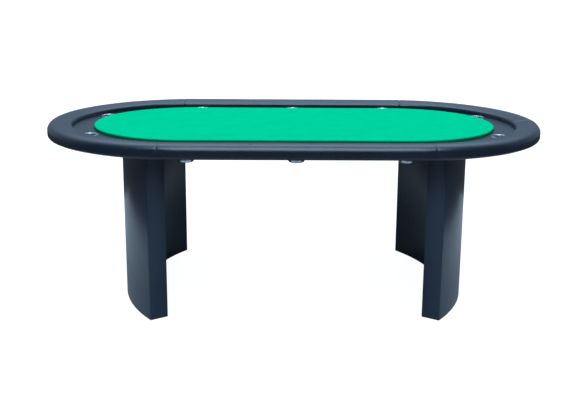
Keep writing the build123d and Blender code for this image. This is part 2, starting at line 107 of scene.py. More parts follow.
def outline_at(t):
    """The rail's outer edge, t metres round from the front's left end: a point and the way out there."""
    t %= OUTLINE
    if t <= STRAIGHT:
        return Vector((-END_X + t, -END_RADIUS, 0)), Vector((0, -1, 0))
    t -= STRAIGHT
    if t <= 2 * HALF_END:
        angle = t / END_RADIUS - math.pi / 2
        out = Vector((math.cos(angle), math.sin(angle), 0))
        return Vector((END_X, 0, 0)) + END_RADIUS * out, out
    t -= 2 * HALF_END
    if t <= STRAIGHT:
        return Vector((END_X - t, END_RADIUS, 0)), Vector((0, 1, 0))
    angle = (t - STRAIGHT) / END_RADIUS + math.pi / 2
    out = Vector((math.cos(angle), math.sin(angle), 0))
    return Vector((-END_X, 0, 0)) + END_RADIUS * out, out


def in_from_edge(t, offset, z):
    """A point at an offset in from the rail's outer edge, and at a height."""
    point, out = outline_at(t)
    return point - out * offset + Vector((0, 0, z))


def in_end(t):
    """1 on the curved ends of the outline and 0 on its straight sides, with a short ramp between."""
    point = outline_at(t)[0]
    return min(1.0, max(0.0, (abs(point.x) - END_X) / END_RAMP))


# ------------------------------------------------------------------ materials


def new_material(name):
    """A new material, its node tree and its shader."""
    material = bpy.data.materials.new(name)
    material.use_nodes = True
    tree = material.node_tree
    return material, tree, tree.nodes["Principled BSDF"]


def place(tree, scale=(1, 1, 1), shift=(0, 0, 0)):
    """Object coordinates in metres, stretched by scale and then moved by shift."""
    coordinates = tree.nodes.new("ShaderNodeTexCoord")
    mapping = tree.nodes.new("ShaderNodeMapping")
    mapping.inputs["Scale"].default_value = scale
    mapping.inputs["Location"].default_value = shift
    tree.links.new(coordinates.outputs["Object"], mapping.inputs["Vector"])
    return mapping.outputs["Vector"]


def feed(tree, socket, value):
    """Sets a socket to a number, or links it to another socket."""
    if isinstance(value, (int, float)):
        socket.default_value = value
    else:
        tree.links.new(value, socket)


def axes_of(tree, vector):
    """The X, Y and Z of a vector."""
    node = tree.nodes.new("ShaderNodeSeparateXYZ")
    tree.links.new(vector, node.inputs["Vector"])
    return node.outputs


def noise_of(tree, where, scale, detail, roughness=0.5):
    """Cloudy noise from 0 to 1."""
    node = tree.nodes.new("ShaderNodeTexNoise")
    node.inputs["Scale"].default_value = scale
    node.inputs["Detail"].default_value = detail
    node.inputs["Roughness"].default_value = roughness
    tree.links.new(where, node.inputs["Vector"])
    return node.outputs["Fac"]


def cells_of(tree, where, scale, feature):
    """How far a place is from the edges (DISTANCE_TO_EDGE) or the middles (F1) of packed cells."""
    node = tree.nodes.new("ShaderNodeTexVoronoi")
    node.feature = feature
    node.inputs["Scale"].default_value = scale
    tree.links.new(where, node.inputs["Vector"])
    return node.outputs["Distance"]


def waves_of(tree, where, direction, scale, distortion, detail_scale=1):
    """Even bands across one axis, from 0 to 1."""
    node = tree.nodes.new("ShaderNodeTexWave")
    node.bands_direction = direction
    node.inputs["Scale"].default_value = scale
    node.inputs["Distortion"].default_value = distortion
    node.inputs["Detail Scale"].default_value = detail_scale
    tree.links.new(where, node.inputs["Vector"])
    return node.outputs["Fac"]


def ramp(tree, value, *stops):
    """A colour ramp between two stops, each a position and a colour."""
    node = tree.nodes.new("ShaderNodeValToRGB")
    for element, (position, colour) in zip(node.color_ramp.elements, stops):
        element.position = position
        element.color = (*colour, 1)
    tree.links.new(value, node.inputs["Fac"])
    return node.outputs["Color"]


def to_range(tree, value, low, high):
    """A value from 0 to 1, spread over the range from low to high."""
    node = tree.nodes.new("ShaderNodeMapRange")
    node.inputs["To Min"].default_value = low
    node.inputs["To Max"].default_value = high
    tree.links.new(value, node.inputs["Value"])
    return node.outputs["Result"]


def smooth_step(tree, value, low, high):
    """0 below low and 1 above high, with a smooth turn between."""
    node = tree.nodes.new("ShaderNodeMapRange")
    node.interpolation_type = "SMOOTHSTEP"
    node.inputs["From Min"].default_value = low
    node.inputs["From Max"].default_value = high
    tree.links.new(value, node.inputs["Value"])
    return node.outputs["Result"]


def combine(tree, operation, first, second):
    """Arithmetic on two values, each a number or a socket."""
    node = tree.nodes.new("ShaderNodeMath")
    node.operation = operation
    feed(tree, node.inputs[0], first)
    feed(tree, node.inputs[1], second)
    return node.outputs["Value"]


def mixed(tree, blend, share, first, second):
    """Two colours blended by a share; sockets 6, 7 and 2 are the node's colour ones."""
    node = tree.nodes.new("ShaderNodeMix")
    node.data_type = "RGBA"
    node.blend_type = blend
    feed(tree, node.inputs["Factor"], share)
    tree.links.new(first, node.inputs[6])
    tree.links.new(second, node.inputs[7])
    return node.outputs[2]


def bump(tree, shader, height, distance, strength, under=None):
    """Relief for the shader, over another bump if one is given."""
    node = tree.nodes.new("ShaderNodeBump")
    node.inputs["Strength"].default_value = strength
    node.inputs["Distance"].default_value = distance
    tree.links.new(height, node.inputs["Height"])
    if under is not None:
        tree.links.new(under.outputs["Normal"], node.inputs["Normal"])
    tree.links.new(node.outputs["Normal"], shader.inputs["Normal"])
    return node


def vinyl(name, dark, light):
    """Upholstery vinyl: a fine pebbled grain, a low sheen and slight changes of tone."""
    material, tree, shader = new_material(name)
    where = place(tree)
    tone = noise_of(tree, where, 9, 4)
    tree.links.new(ramp(tree, tone, (0.3, dark), (0.72, light)), shader.inputs["Base Color"])
    rubbed = noise_of(tree, where, 38, 5, 0.6)
    tree.links.new(to_range(tree, rubbed, 0.24, 0.34), shader.inputs["Roughness"])
    shader.inputs["Specular IOR Level"].default_value = 0.5
    pebbles = cells_of(tree, where, 620, "DISTANCE_TO_EDGE")
    creases = noise_of(tree, where, 1900, 2)
    surface = combine(tree, "ADD", combine(tree, "MULTIPLY", pebbles, 1.6), creases)
    soft = bump(tree, shader, noise_of(tree, where, 55, 3), 0.0012, 0.25)
    bump(tree, shader, surface, 0.00022, 0.45, under=soft)
    return material


PAINTED_EDGE_SHADE = 0.3  # painted shade on the cloth's side down round the board's edge, as a share of its colour, against 1 on its top
PAINTED_SHADE_FULL_DEPTH = 0.007  # how far below the top the shade is full
PAINTED_SHADE_START_DEPTH = 0.0006  # and where it begins


def cloth(name, dark, light):
    """Speed cloth: a fine plain weave with a faint mottle, and painted shade down its side where it turns
    round the edge.
    """
    material, tree, shader = new_material(name)
    where = place(tree)
    tone = noise_of(tree, where, 14, 5, 0.55)
    green = ramp(tree, tone, (0.3, dark), (0.7, light))
    top = CLOTH_HIGH.z
    height = axes_of(tree, where)["Z"]
    # painted shade: the green is multiplied darker down the cloth's side, below the round at its top
    on_top = smooth_step(tree, height, top - PAINTED_SHADE_FULL_DEPTH, top - PAINTED_SHADE_START_DEPTH)
    shade = ramp(tree, on_top, (0, (PAINTED_EDGE_SHADE,) * 3), (1, (1, 1, 1)))
    tree.links.new(mixed(tree, "MULTIPLY", 1, green, shade), shader.inputs["Base Color"])
    shader.inputs["Roughness"].default_value = 0.85
    shader.inputs["Specular IOR Level"].default_value = 0.0
    threads = [waves_of(tree, where, direction, 420, 0.6, 2) for direction in ("X", "Y")]
    weave = combine(tree, "MAXIMUM", *threads)
    fuzz = noise_of(tree, where, 2400, 2)
    bump(tree, shader, combine(tree, "ADD", weave, fuzz), 0.00012, 0.5)
    return material


def lacquer(name, dark, light):
    """Black laminate with a satin gloss, a faint orange peel and slight handling marks."""
    material, tree, shader = new_material(name)
    where = place(tree)
    tone = noise_of(tree, where, 5, 3)
    tree.links.new(ramp(tree, tone, (0.3, dark), (0.7, light)), shader.inputs["Base Color"])
    marks = noise_of(tree, where, 16, 6, 0.65)
    tree.links.new(to_range(tree, marks, 0.18, 0.3), shader.inputs["Roughness"])
    shader.inputs["Specular IOR Level"].default_value = 0.4
    bump(tree, shader, noise_of(tree, where, 420, 3), 0.0002, 0.22)
    return material


def wood(name, dark, light, grain, plies=False):
    """Wood with its grain along X, and for plywood its layers on the cut edges."""
    material, tree, shader = new_material(name)
    where = place(tree, (0.07, 1, 1))
    fibres = noise_of(tree, where, grain, 8, 0.62)
    rings = noise_of(tree, where, grain / 6, 3)
    fibres_part = combine(tree, "MULTIPLY", fibres, 0.65)
    rings_part = combine(tree, "MULTIPLY", rings, 0.35)
    figure = combine(tree, "ADD", fibres_part, rings_part)
    colour = ramp(tree, figure, (0.36, dark), (0.62, light))
    if plies:
        layers = waves_of(tree, place(tree), "Z", 120, 0.3)
        edge_colour = ramp(tree, layers, (0.35, dark), (0.6, light))
        facing = axes_of(tree, tree.nodes.new("ShaderNodeNewGeometry").outputs["True Normal"])
        on_edge = combine(tree, "LESS_THAN", combine(tree, "ABSOLUTE", facing["Z"], 0), 0.5)
        colour = mixed(tree, "MIX", on_edge, colour, edge_colour)
    tree.links.new(colour, shader.inputs["Base Color"])
    tree.links.new(to_range(tree, fibres, 0.5, 0.72), shader.inputs["Roughness"])
    bump(tree, shader, fibres, 0.0005, 0.35)
    return material


def fibreboard(name, dark, light):
    """MDF: a dense brown board with a fine fleck."""
    material, tree, shader = new_material(name)
    where = place(tree)
    fleck = noise_of(tree, where, 700, 4, 0.7)
    tree.links.new(ramp(tree, fleck, (0.32, dark), (0.66, light)), shader.inputs["Base Color"])
    tree.links.new(to_range(tree, fleck, 0.7, 0.88), shader.inputs["Roughness"])
    bump(tree, shader, fleck, 0.0003, 0.3)
    return material


def foam(name, dark, light):
    """Open-cell foam."""
    material, tree, shader = new_material(name)
    where = place(tree)
    pores = cells_of(tree, where, 900, "F1")
    tree.links.new(ramp(tree, pores, (0.0, light), (0.8, dark)), shader.inputs["Base Color"])
    tree.links.new(to_range(tree, pores, 0.85, 0.95), shader.inputs["Roughness"])
    bump(tree, shader, pores, 0.0005, 0.5)
    return material


def metal(name, dark, light, roughness, brushed=False):
    """Bare metal: brushed in level streaks, or with the fine mottle of plating."""
    material, tree, shader = new_material(name)
    shader.inputs["Metallic"].default_value = 1.0
    stretch, grain = ((0.02, 0.02, 1), 900) if brushed else ((1, 1, 1), 260)
    streaks = noise_of(tree, place(tree, stretch), grain, 5, 0.6)
    tree.links.new(ramp(tree, streaks, (0.3, dark), (0.7, light)), shader.inputs["Base Color"])
    tree.links.new(to_range(tree, streaks, *roughness), shader.inputs["Roughness"])
    bump(tree, shader, streaks, 0.00006, 0.4)
    return material


def paint(name, dark, light, roughness):
    """Powder-coated steel or moulded nylon."""
    material, tree, shader = new_material(name)
    where = place(tree)
    peel = noise_of(tree, where, 850, 3)
    tree.links.new(ramp(tree, peel, (0.3, dark), (0.7, light)), shader.inputs["Base Color"])
    tree.links.new(to_range(tree, peel, *roughness), shader.inputs["Roughness"])
    bump(tree, shader, peel, 0.0003, 0.3)
    return material


MATERIALS = {
    "rail_vinyl": vinyl("rail_vinyl", (0.0075, 0.0135, 0.024), (0.0105, 0.0185, 0.032)),
    "racetrack_vinyl": vinyl("racetrack_vinyl", (0.0070, 0.0125, 0.022), (0.0098, 0.017, 0.030)),
    "green_cloth": cloth("green_cloth", (0.0, 0.395, 0.166), (0.0, 0.428, 0.180)),
    "foam": foam("foam", (0.50, 0.47, 0.36), (0.78, 0.75, 0.62)),
    "plywood": wood("plywood", (0.42, 0.27, 0.14), (0.66, 0.48, 0.29), 46, plies=True),
    "mdf": fibreboard("mdf", (0.20, 0.125, 0.07), (0.34, 0.23, 0.135)),
    "softwood": wood("softwood", (0.47, 0.29, 0.13), (0.72, 0.52, 0.29), 30),
    "leg_black": lacquer("leg_black", (0.010, 0.021, 0.037), (0.014, 0.027, 0.046)),
    "stainless_steel": metal(
        "stainless_steel", (0.52, 0.54, 0.57), (0.74, 0.75, 0.77), (0.16, 0.32), brushed=True
    ),
    "zinc_steel": metal("zinc_steel", (0.45, 0.46, 0.47), (0.68, 0.69, 0.70), (0.28, 0.45)),
    "black_steel": paint("black_steel", (0.012, 0.012, 0.013), (0.024, 0.024, 0.026), (0.4, 0.55)),
    "glide_nylon": paint("glide_nylon", (0.05, 0.05, 0.054), (0.075, 0.075, 0.08), (0.5, 0.65)),
}

for entry in frame["record"]["subparts"]:
    node = frame["nodes"][entry["node"]]
    if not node.material_slots:
        node.data.materials.append(None)
    for node_slot in node.material_slots:
        node_slot.material = MATERIALS[entry["material_slot"]]


# ------------------------------------------------------------------ mesh helpers


def make_piece(name, vertices, faces, body, slot, replaced):
    """A smooth mesh piece that rides on a body and stands for CAD nodes."""
    mesh = bpy.data.meshes.new(name)
    mesh.from_pydata([tuple(v) for v in vertices], [], faces)
    mesh.validate()
    whole = bmesh.new()
    whole.from_mesh(mesh)
    bmesh.ops.recalc_face_normals(whole, faces=whole.faces)
    whole.to_mesh(mesh)
    whole.free()
    mesh.polygons.foreach_set("use_smooth", [True] * len(mesh.polygons))
    mesh.materials.append(MATERIALS[slot])
    piece = bpy.data.objects.new(name, mesh)
    bpy.context.scene.collection.objects.link(piece)
    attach(piece, body)
    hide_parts(*replaced)
    return piece


def sharpen(piece, degrees):
    """Marks edges sharper than an angle, so that smooth shading breaks there."""
    piece.data.set_sharp_from_angle(angle=math.radians(degrees))


def loft(rings, closed=False, caps=False):
    """The vertices and faces of a skin over closed rings of points, perhaps with a cap at each end."""
    count = len(rings[0])
    vertices = [point for ring in rings for point in ring]
    faces = []
    last = len(rings) if closed else len(rings) - 1
    for i in range(last):
        here, there = i * count, (i + 1) % len(rings) * count
        for j in range(count):
            k = (j + 1) % count
            faces.append((here + j, there + j, there + k, here + k))
    if caps:
        faces.append(tuple(range(count)))
        faces.append(tuple(reversed(range((len(rings) - 1) * count, len(rings) * count))))
    return vertices, faces


def turned(sections):
    """The vertices and faces of a skin over open sections set all the way round, with two flat caps."""
    count, total = len(sections[0]), len(sections)
    vertices = [point for section in sections for point in section]
    faces = []
    for i in range(total):
        here, there = i * count, (i + 1) % total * count
        for j in range(count - 1):
            faces.append((here + j, there + j, there + j + 1, here + j + 1))
    faces.append(tuple(i * count for i in range(total)))
    faces.append(tuple(i * count + count - 1 for i in reversed(range(total))))
    return vertices, faces


def arc(centre, radius, start, end, steps):
    """Points round an arc of a section, between two angles in degrees, both ends included."""
    return [
        (
            centre[0] + radius * math.cos(math.radians(start + (end - start) * i / steps)),
            centre[1] + radius * math.sin(math.radians(start + (end - start) * i / steps)),
        )
        for i in range(steps + 1)
    ]


def run(start, end, steps):
    """Points along a straight stretch of a section, without its first point."""
    return [
        (
            start[0] + (end[0] - start[0]) * i / steps,
            start[1] + (end[1] - start[1]) * i / steps,
        )
        for i in range(1, steps + 1)
    ]


def lengths_along(section):
    """How far round a section each of its points is."""
    total, found = 0.0, [0.0]
    for (x0, z0), (x1, z1) in zip(section, section[1:]):
        total += math.hypot(x1 - x0, z1 - z0)
        found.append(total)
    return found


def normals_of(section):
    """The way out of a section at each point. The section goes clockwise in (offset, z)."""
    found = []
    last = len(section) - 1
    for i in range(len(section)):
        (x0, z0), (x1, z1) = section[max(i - 1, 0)], section[min(i + 1, last)]
        dx, dz = x1 - x0, z1 - z0
        size = math.hypot(dx, dz) or 1.0
        found.append((-dz / size, dx / size))
    return found


# ------------------------------------------------------------------ the padded rail

GROOVE = 0.0020  # how deep the vinyl turns in at a seam on the padded top
EDGE_GROOVE = 0.0010  # and over the hard skirt
GROOVE_WIDTH = 0.0035
PUCKER = 0.0007
PUCKER_SPACING = 0.016
PUCKER_START = 0.006  # how far from a seam the puckers are at their fullest
PUCKER_REACH = 0.026  # and over which they fade away
RIPPLE = 0.0005  # the gentle waves of the vinyl along the rail
WRINKLE = 0.0002  # creases where the vinyl bunches round the inside of each end
WRINKLE_SPACING = 0.034
STATION = 0.008  # between the rail's sections


def rail_skin():
    """The seen side of the rail's section as (offset, z), from the hem under the skirt to the racetrack."""
    shoulder, fall = math.radians(SHOULDER), math.radians(FALL)
    crest_z = TOP_Z - CREST_ROUND
    step = CREST_ROUND - OUTER_ROUND
    crest = (OUTER_ROUND + step * math.sin(shoulder), crest_z)
    outer = (OUTER_ROUND, crest_z + step * math.cos(shoulder))
    inner_offset = RAIL_WIDTH - INNER_ROUND
    rise = CREST_ROUND - INNER_ROUND - (inner_offset - crest[0]) * math.sin(fall)
    inner = (inner_offset, crest_z + rise / math.cos(fall))
    skin = [(BASE_OFFSET, RAIL_BOTTOM)]
    skin += arc((LOWER_ROUND, RAIL_BOTTOM + LOWER_ROUND), LOWER_ROUND, 270, 180, 8)
    skin += run(skin[-1], (0, outer[1]), 3)
    skin += arc(outer, OUTER_ROUND, 180, 90 + SHOULDER, 12)[1:]
    skin += arc(crest, CREST_ROUND, 90 + SHOULDER, 90 - FALL, 10)[1:]
    inner_arc = arc(inner, INNER_ROUND, 90 - FALL, 0, 9)
    skin += run(skin[-1], inner_arc[0], 9)
    skin += inner_arc[1:]
    skin += run(skin[-1], (RAIL_WIDTH, DECK_TOP + TRACK_GAP), 5)
    return skin


def rail_back():
    """The hidden side of the section: up the inner wall, over the base and down outside the skirt."""
    gap = 0.0001
    wall = RAIL_WIDTH - COVER + gap
    ceiling = BASE_TOP + gap
    lower = arc((LOWER_ROUND, RAIL_BOTTOM + LOWER_ROUND), LOWER_ROUND - COVER + gap, 180, 270, 5)
    hem = (BASE_OFFSET, RAIL_BOTTOM + COVER - gap)
    return [(wall, DECK_TOP + TRACK_GAP), (wall, ceiling), (COVER - gap, ceiling)] + lower + [hem]


def stations(start, end):
    """Places along a panel, close together near its two seams."""
    near = [0.0, 0.0008, 0.0018, 0.003, 0.0045, 0.0065, 0.009, 0.0125, 0.0175, 0.024]
    inner_start, inner_end = start + near[-1], end - near[-1]
    count = round((inner_end - inner_start) / STATION)
    middle = [inner_start + (inner_end - inner_start) * i / count for i in range(1, count)]
    return [start + d for d in near] + middle + [end - d for d in reversed(near)]


def vinyl_relief(t, along, share_in, from_seam, padded):
    """How far the rail's vinyl stands out of its plain section, at a place along and round the rail."""
    point = outline_at(t)[0]
    ripple = RIPPLE * noise.noise(Vector((point.x * 7, point.y * 7, along * 22)))
    depth = GROOVE if padded else EDGE_GROOVE
    groove = -depth * math.exp(-((from_seam / GROOVE_WIDTH) ** 2))
    phase = 2.5 * noise.noise(Vector((point.x * 3, point.y * 3, along * 30)))
    pull = math.exp(-from_seam / PUCKER_REACH) * min(1.0, from_seam / PUCKER_START)
    pucker = PUCKER * pull * math.sin(math.tau * along / PUCKER_SPACING + phase)
    bunching = in_end(t) * max(0.0, share_in) ** 2
    wander = 3.0 * noise.noise(Vector((t * 5, along * 14, 3.7)))
    uneven = 0.5 + noise.noise(Vector((t * 11, 1.3, 8.1)))
    wrinkle = WRINKLE * bunching * uneven * math.sin(math.tau * t / WRINKLE_SPACING + wander)
    return ripple + groove + pucker + wrinkle


def rail_pad(name, start, end, replaced):
    """One sewn panel of the rail, from seam to seam, with the foam that it covers."""
    skin, back = rail_skin(), rail_back()
    normals, along = normals_of(skin), lengths_along(skin)
    first_soft, last_soft = 3, len(skin) - 3  # the hem and the foot of the inner wall stay plain
    rings = []
    for t in stations(start, end):
        from_seam = min(t - start, end - t)
        ring = []
        for i, (offset, z) in enumerate(skin):
            if first_soft <= i <= last_soft:
                share_in = (offset - RAIL_WIDTH / 2) / (RAIL_WIDTH / 2)
                out = vinyl_relief(t, along[i], share_in, from_seam, z > BASE_TOP)
                offset += normals[i][0] * out
                z += normals[i][1] * out
            ring.append(in_from_edge(t, offset, z))
        ring += [in_from_edge(t, offset, z) for offset, z in back]
        rings.append(ring)
    vertices, faces = loft(rings, caps=True)
    piece = make_piece(name, vertices, faces, TABLE, "rail_vinyl", replaced)
    sharpen(piece, 50)


PAST = SEAM_ANGLE * END_RADIUS  # the seams' distance round the ends from the straight sides
APEX = STRAIGHT + HALF_END
REAR = STRAIGHT + 2 * HALF_END
LEFT = REAR + STRAIGHT
PANELS = (
    ("front", -PAST, STRAIGHT + PAST, ("front",)),
    ("right_front", STRAIGHT + PAST, APEX, ("right_front",)),
    ("right_rear", APEX, REAR - PAST, ("right_rear",)),
    ("rear", REAR - PAST, LEFT + PAST, ("rear",)),
    ("left", LEFT + PAST, OUTLINE - PAST, ("left_rear", "left_front")),
)
for panel, start, end, foams in PANELS:
    rail_pad(
        f"rail_pad_{panel}",
        start,
        end,
        [f"rail_cover_{panel}"] + [f"rail_foam_{part}" for part in foams],
    )

# ------------------------------------------------------------------ racetrack

TRACK_STATION = 0.012  # between the racetrack's sections


def racetrack():
    """The racetrack's vinyl, stretched flat over its board, with a hole for each cup holder."""
    bottom, top = TRACK_LOW.z, TRACK_HIGH.z
    edge = 0.0008
    section = [
        (TRACK_OUTER, bottom),
        (TRACK_OUTER, top - edge),
        (TRACK_OUTER + edge, top),
    ]
    section += run(section[-1], (TRACK_INNER - edge, top), 10)
    section += [(TRACK_INNER, top - edge), (TRACK_INNER, bottom)]
    count = round(OUTLINE / TRACK_STATION)
    rings = []
    for i in range(count):
        t = OUTLINE * i / count
        rings.append([in_from_edge(t, offset, z) for offset, z in section])
    vertices, faces = loft(rings, closed=True)
    piece = make_piece("racetrack_skin", vertices, faces, TABLE, "racetrack_vinyl", ["racetrack_vinyl"])
    for number in CUPS:
        low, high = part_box(f"cup_holder_{number}")
        bpy.ops.mesh.primitive_cylinder_add(
            vertices=64,
            radius=CUP_HOLE,
            depth=0.05,
            location=((low.x + high.x) / 2, (low.y + high.y) / 2, top),
        )
        cutter = bpy.context.object
        hole = piece.modifiers.new("hole", "BOOLEAN")
        hole.operation = "DIFFERENCE"
        hole.solver = "EXACT"
        hole.object = cutter
        bpy.context.view_layer.objects.active = piece
        bpy.ops.object.modifier_apply(modifier=hole.name)
        bpy.data.objects.remove(cutter)
    sharpen(piece, 30)


racetrack()

# ------------------------------------------------------------------ playing surface

CLOTH_ROUND = 0.006
SURFACE_STATION = 0.012
MIDDLE_SLOT = 0.004  # half the width of the slot left down the middle, which is capped flat
SWELL = 0.0003  # how far the stretched cloth is from quite flat
SWELL_FADE = 0.05  # the distance from the slot over which it goes flat


def playing_surface():
    """The green cloth, pulled over its foam and down round the edge of the board."""
    top = CLOTH_HIGH.z
    edge = PLAYFIELD_OFFSET
    inside = edge + CLOTH
    middle = END_RADIUS - MIDDLE_SLOT
    underside = PADDING_LOW.z
    section = [(middle, underside), (inside, underside), (inside, CLOTH_LOW.z), (edge, CLOTH_LOW.z)]
    section += run(section[-1], (edge, top - CLOTH_ROUND), 4)
    section += arc((edge + CLOTH_ROUND, top - CLOTH_ROUND), CLOTH_ROUND, 180, 90, 8)[1:]
    section += run(section[-1], (middle, top), 24)
    count = round(OUTLINE / SURFACE_STATION)
    sections = []
    for i in range(count):
        t = OUTLINE * i / count
        points = []
        for offset, z in section:
            point = in_from_edge(t, offset, z)
            if z > top - CLOTH_ROUND / 2:
                fade = min(1.0, (middle - offset) / SWELL_FADE)
                point.z += fade * SWELL * noise.noise(Vector((point.x * 6, point.y * 6, 0.4)))
            points.append(point)
        sections.append(points)
    vertices, faces = turned(sections)
    piece = make_piece(
        "playing_surface",
        vertices,
        faces,
        TABLE,
        "green_cloth",
        ["playfield_cloth", "playfield_foam"],
    )
    sharpen(piece, 50)


playing_surface()

# ------------------------------------------------------------------ cup holders

CUP_STEPS = 72


def cup_section(low, high):
    """Half of a drawn cup's section as (radius, z): up its outside to the flange, then down inside."""
    flange = (high.x - low.x) / 2
    wall = 0.0008
    body = CUP_HOLE - 0.001
    bend = 0.008  # the round at its foot
    bead = 0.0012  # and at its rim
    seat = TRACK_HIGH.z + 0.0002
    section = [(0.0, low.z)]
    section += run(section[-1], (body - bend, low.z), 4)
    section += arc((body - bend, low.z + bend), bend, -90, 0, 8)[1:]
    section += run(section[-1], (body, seat - 0.0015), 5)
    section += [(body + 0.0004, seat - 0.0004), (body + 0.0015, seat)]
    section += [(flange - 0.0006, seat), (flange, seat + 0.0004)]
    section += [(flange - 0.0004, seat + 0.0009), (flange - 0.0012, high.z - 0.0004)]
    section += [(flange - 0.0024, high.z - 0.0001), (body + bead, high.z)]
    section += arc((body - wall + bead, high.z - bead * 1.6), bead * 1.6, 80, 180, 5)
    inner = section[-1][0]
    section += run(section[-1], (inner, low.z + bend), 5)
    section += arc((body - bend, low.z + bend), inner - body + bend, 0, -90, 8)[1:]
    floor = section[-1][1]
    section += run(section[-1], (0.012, floor), 3)
    section += [(0.010, floor + 0.0005), (0.0, floor + 0.0005)]
    return section


def cup_holder(number):
    """One cup holder, its section turned round its own axis."""
    low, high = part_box(f"cup_holder_{number}")
    centre = (low + high) / 2
    section = cup_section(low, high)
    first, last = section[0], section[-1]
    vertices = [(centre.x, centre.y, first[1])]
    for radius, z in section[1:-1]:
        for i in range(CUP_STEPS):
            angle = math.tau * i / CUP_STEPS
            vertices.append((centre.x + radius * math.cos(angle), centre.y + radius * math.sin(angle), z))
    vertices.append((centre.x, centre.y, last[1]))
    faces = []
    rows = len(section) - 2
    top = len(vertices) - 1
    for i in range(CUP_STEPS):
        j = (i + 1) % CUP_STEPS
        faces.append((0, 1 + j, 1 + i))
        for row in range(rows - 1):
            here, there = 1 + row * CUP_STEPS, 1 + (row + 1) * CUP_STEPS
            faces.append((here + i, here + j, there + j, there + i))
        here = 1 + (rows - 1) * CUP_STEPS
        faces.append((top, here + i, here + j))
    piece = make_piece(
        f"steel_cup_{number}",
        vertices,
        faces,
        f"cup_{number}",
        "stainless_steel",
        [f"cup_holder_{number}"],
    )
    sharpen(piece, 40)


for number in CUPS:
    cup_holder(number)

# ------------------------------------------------------------------ legs

LEG_OUTER = 0.891  # the radius of a leg's outer side, in plan
LEG_THICKNESS = 0.080
LEG_HALF_ANGLE = math.radians(34.7)
LEG_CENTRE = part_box("right_leg_wrap")[1].x - LEG_OUTER
WRAP = 0.0015  # the thickness of the laminate
LEG_EDGE = 0.002  # the round on its upright edges
LEG_STEPS = 96


def leg_loop(radii, half_angle, edge_round, side):
    """A closed loop round a leg panel's plan: out along the outer arc and back along the inner one."""
    inner, outer = radii
    loop = []
    turn_out = edge_round / outer
    turn_in = edge_round / inner
    for i in range(LEG_STEPS + 1):
        angle = (half_angle - turn_out) * (2 * i / LEG_STEPS - 1)
        loop.append((outer, angle))
    loop += corner(outer, half_angle, edge_round, -1)
    loop += list(reversed(corner(inner, half_angle, edge_round, 1)))
    for i in range(LEG_STEPS + 1):
        angle = (half_angle - turn_in) * (1 - 2 * i / LEG_STEPS)
        loop.append((inner, angle))
    loop += [(radius, -angle) for radius, angle in corner(inner, half_angle, edge_round, 1)]
    loop += [(radius, -angle) for radius, angle in reversed(corner(outer, half_angle, edge_round, -1))]
    return [
        (side * (LEG_CENTRE + radius * math.cos(angle)), radius * math.sin(angle))
        for radius, angle in loop
    ]


def corner(radius, half_angle, edge_round, inward):
    """Points round a corner of the plan as (radius, angle), from the arc's side to the end face's."""
    found = []
    for i in range(1, 6):
        turn = math.pi / 2 * i / 6
        along = edge_round * (1 - math.sin(turn))
        across = edge_round * (1 - math.cos(turn))
        found.append((radius + inward * across, half_angle - along / radius))
    return found


def leg_wrap(side_name, side):
    """The black wrap round one leg: a thin closed shell, open at the top and the bottom."""
    low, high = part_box(f"{side_name}_leg_wrap")
    inner, outer = LEG_OUTER - LEG_THICKNESS, LEG_OUTER
    outside = leg_loop((inner, outer), LEG_HALF_ANGLE, LEG_EDGE, side)
    wrap_angle = LEG_HALF_ANGLE - WRAP / ((inner + outer) / 2)
    lip = 0.0006
    inside = leg_loop((inner + WRAP, outer - WRAP), wrap_angle, lip, side)
    hem = [(x + (u - x) * 0.6, y + (v - y) * 0.6) for (x, y), (u, v) in zip(inside, outside)]
    levels = [low.z + lip] + [low.z + (high.z - low.z) * i / 12 for i in range(1, 12)] + [high.z]
    rings = [[Vector((x, y, low.z)) for x, y in loop] for loop in (inside, hem)]
    rings += [[Vector((x, y, z)) for x, y in outside] for z in levels]
    rings += [[Vector((x, y, z)) for x, y in inside] for z in (high.z, (low.z + high.z) / 2)]
    vertices, faces = loft(rings, closed=True)
    piece = make_piece(
        f"{side_name}_leg_panel",
        vertices,
        faces,
        TABLE,
        "leg_black",
        [f"{side_name}_leg_wrap"],
    )
    sharpen(piece, 35)


leg_wrap("left", -1)
leg_wrap("right", 1)

# ------------------------------------------------------------------ floor, lights and camera

FLOOR_SIZE = 160
BACKDROP_RADIUS = 75
BACKDROP_HEIGHT = 80  # half of it above the floor
WHITE_GLOW = 0.96
AMBIENT = ((0.78, 0.90, 1.0), 0.07)  # each light is a colour and a strength
BACK_WALL = ((0.54, 0.75, 1.0), 0.28)
CEILING = ((0.56, 0.76, 1.0), 2.6)
SOFTBOX = ((0.62, 0.80, 1.0), 7.3)
SOFTBOX_AT = 126  # degrees round from the horizon behind, over the table
SOFTBOX_RIM = (25, 19)  # degrees from its middle where its light starts and is full
STRIP = ((0.62, 0.80, 1.0), 1.2)
STRIP_AT = 78  # the same way round
STRIP_RIM = (42, 12)
REFLECTOR = (3.5, 3.8)  # the size of the floor that the gloss reflects
REFLECTOR_Y = -0.4
REFLECTOR_GLOW = ((0.62, 0.80, 1.0), 0.36)
SHADE = (1.3, 1.6)  # the half width and half depth of the table's shade on it
SHADE_Y = 0.5
SHADE_FULL = 0.4  # the part of that reach within which the shade is full


def glowing_floor(name, dark, light, colour):
    """A matt grey material that glows in a colour. How strongly is left to the floor that has it."""
    material, tree, shader = new_material(name)
    tone = noise_of(tree, place(tree), 0.8, 3)
    greys = ramp(tree, tone, (0.3, (dark,) * 3), (0.7, (light,) * 3))
    tree.links.new(greys, shader.inputs["Base Color"])
    shader.inputs["Roughness"].default_value = 0.9
    shader.inputs["Specular IOR Level"].default_value = 0.0
    shader.inputs["Emission Color"].default_value = (*colour, 1)
    return material, tree, shader


